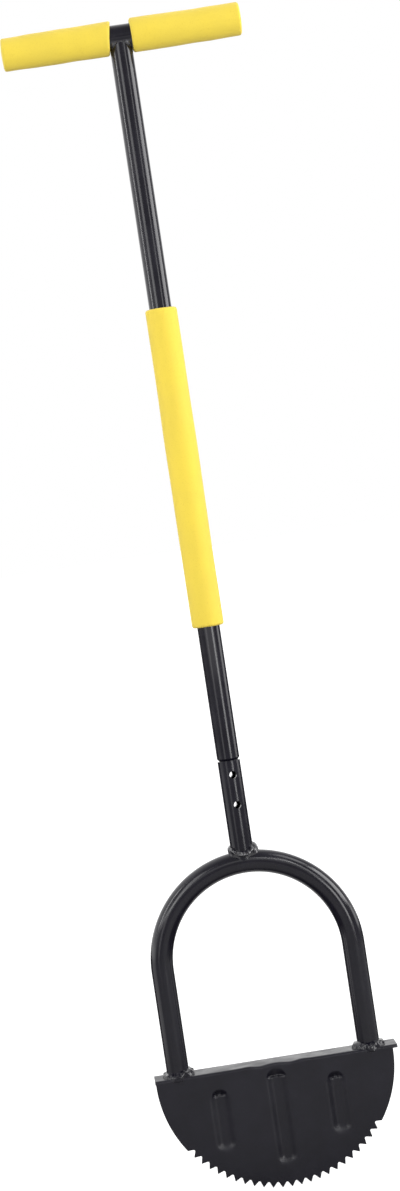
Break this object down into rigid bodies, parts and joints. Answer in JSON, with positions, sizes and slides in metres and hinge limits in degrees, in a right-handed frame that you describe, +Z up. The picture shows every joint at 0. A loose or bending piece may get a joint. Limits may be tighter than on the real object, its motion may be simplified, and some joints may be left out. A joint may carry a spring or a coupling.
{
  "type": "half moon edger",
  "caption": "Half moon lawn edger: serrated, ribbed half-moon blade with folded tread, bent-tube arch with socket, and a take-down tube handle with crossbar and foam grips.",
  "frame": {"origin": "on the shaft's axis, level with the lowest tooth tip: the bottom centre of the bounding box", "axes": "+Z up along the shaft to the crossbar, +X along the crossbar and the tread, -Y out of the blade's front face"},
  "size_m": [0.2066, 0.029, 0.9905],
  "materials": {
    "blade_paint": "satin black paint over pressed sheet steel",
    "tube_paint": "semi-gloss black paint over drawn steel tube",
    "weld_paint": "semi-gloss black paint over a rippled weld bead",
    "yellow_foam": "matt closed-cell foam"
  },
  "bodies": {
    "head": {"blade": "blade_paint", "arch": "tube_paint", "socket": "tube_paint", "left_leg_weld": "weld_paint", "right_leg_weld": "weld_paint", "crown_weld": "weld_paint"},
    "handle": {"shaft": "tube_paint", "crossbar": "tube_paint", "crossbar_weld": "weld_paint", "shaft_grip": "yellow_foam", "left_grip": "yellow_foam", "right_grip": "yellow_foam"}
  },
  "joints": [
    {"name": "handle_slide", "type": "slide", "parent": "head", "child": "handle", "axis": [0, 0, 1], "range_m": [0, 0.06]}
  ]
}
